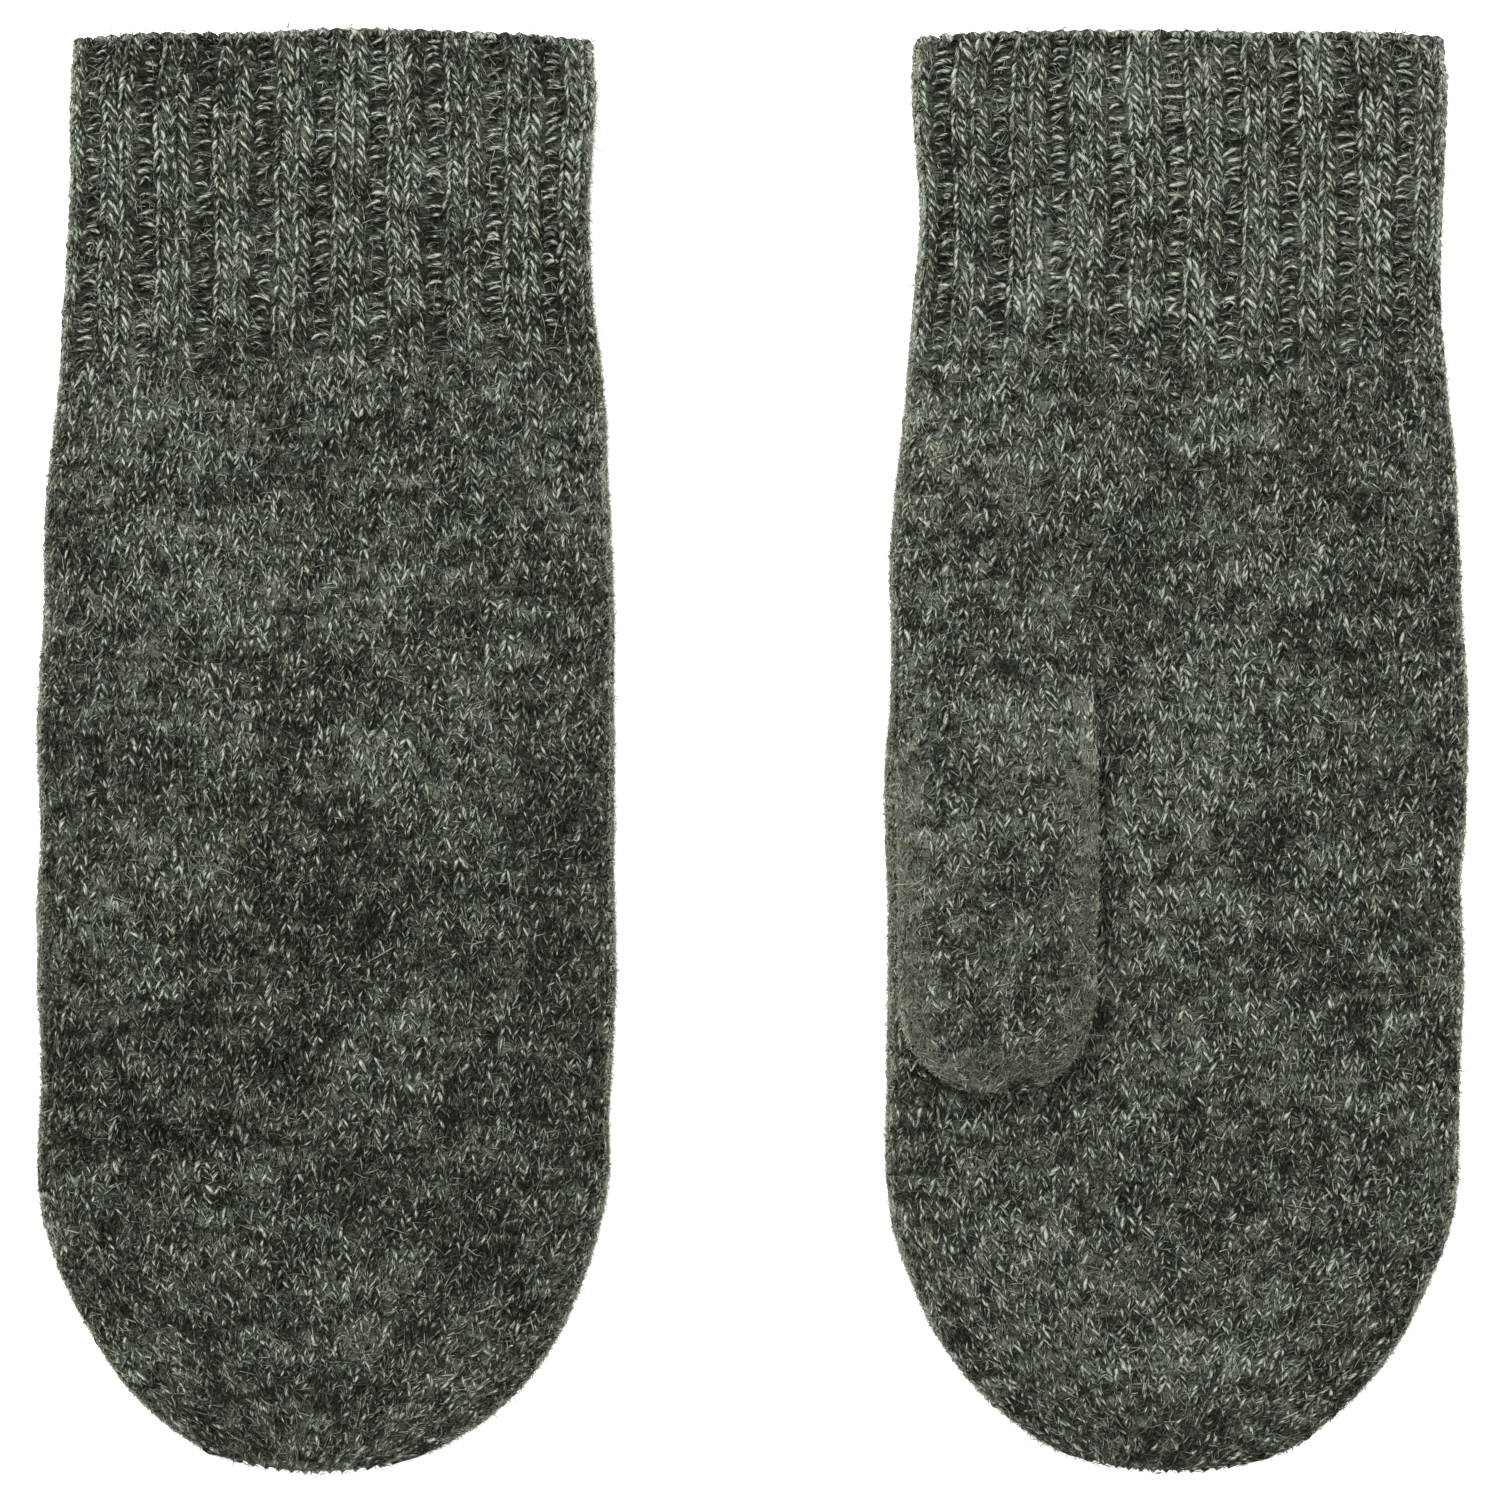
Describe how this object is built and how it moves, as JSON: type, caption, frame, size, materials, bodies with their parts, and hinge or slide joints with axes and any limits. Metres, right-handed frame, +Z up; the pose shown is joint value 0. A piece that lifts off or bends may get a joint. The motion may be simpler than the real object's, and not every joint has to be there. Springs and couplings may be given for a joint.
{
  "type": "pair of knitted mittens",
  "caption": "Pair of flat-lying knitted wool mittens with ribbed cuffs, rounded fingertips and a separate knitted thumb on each palm.",
  "frame": {"origin": "centre of the bounding box's bottom face, on the surface the pair lies on", "axes": "+X from the left-hand mitten to the right-hand mitten, +Y from the fingertips to the cuffs, +Z up"},
  "size_m": [0.2664, 0.27, 0.0183],
  "materials": {
    "rib_knit": "two-by-two ribbed wool, grey-green heather, slightly brushed",
    "plain_knit": "plain-knit wool, grey-green heather, slightly felted and fuzzy",
    "seam_yarn": "single woollen yarn, grey-green heather"
  },
  "bodies": {
    "left_hand": {"left_hand": "plain_knit", "left_thumb_seam": "seam_yarn"},
    "left_cuff": {"left_cuff": "rib_knit", "left_cuff_edge": "rib_knit"},
    "left_fingers": {"left_fingertip": "plain_knit", "left_fingertip_closure": "seam_yarn"},
    "left_thumb": {"left_thumb": "plain_knit", "left_thumb_tip": "plain_knit", "left_thumb_closure": "seam_yarn"},
    "right_hand": {"right_hand": "plain_knit", "right_thumb_seam": "seam_yarn"},
    "right_cuff": {"right_cuff": "rib_knit", "right_cuff_edge": "rib_knit"},
    "right_fingers": {"right_fingertip": "plain_knit", "right_fingertip_closure": "seam_yarn"},
    "right_thumb": {"right_thumb": "plain_knit", "right_thumb_tip": "plain_knit", "right_thumb_closure": "seam_yarn"}
  },
  "joints": [
    {"name": "left_cuff_fold", "type": "hinge", "parent": "left_hand", "child": "left_cuff", "pos_m": [-0.0791, 0.07, 0.0113], "axis": [1, 0, 0], "range_deg": [0, 165]},
    {"name": "left_fingers_fold", "type": "hinge", "parent": "left_hand", "child": "left_fingers", "pos_m": [-0.0791, -0.077, 0.0113], "axis": [-1, 0, 0], "range_deg": [0, 140]},
    {"name": "left_thumb_swing", "type": "hinge", "parent": "left_hand", "child": "left_thumb", "pos_m": [-0.1126, 0.005, 0.0045], "axis": [0, 0, -1], "range_deg": [0, 60]},
    {"name": "pair_spacing", "type": "slide", "parent": "left_hand", "child": "right_hand", "axis": [1, 0, 0], "range_m": [0, 0.12]},
    {"name": "right_cuff_fold", "type": "hinge", "parent": "right_hand", "child": "right_cuff", "pos_m": [0.0791, 0.07, 0.0113], "axis": [1, 0, 0], "range_deg": [0, 165]},
    {"name": "right_fingers_fold", "type": "hinge", "parent": "right_hand", "child": "right_fingers", "pos_m": [0.0791, -0.077, 0.0113], "axis": [-1, 0, 0], "range_deg": [0, 140]},
    {"name": "right_thumb_swing", "type": "hinge", "parent": "right_hand", "child": "right_thumb", "pos_m": [0.0456, 0.005, 0.0138], "axis": [0, 0, -1], "range_deg": [0, 60]}
  ]
}
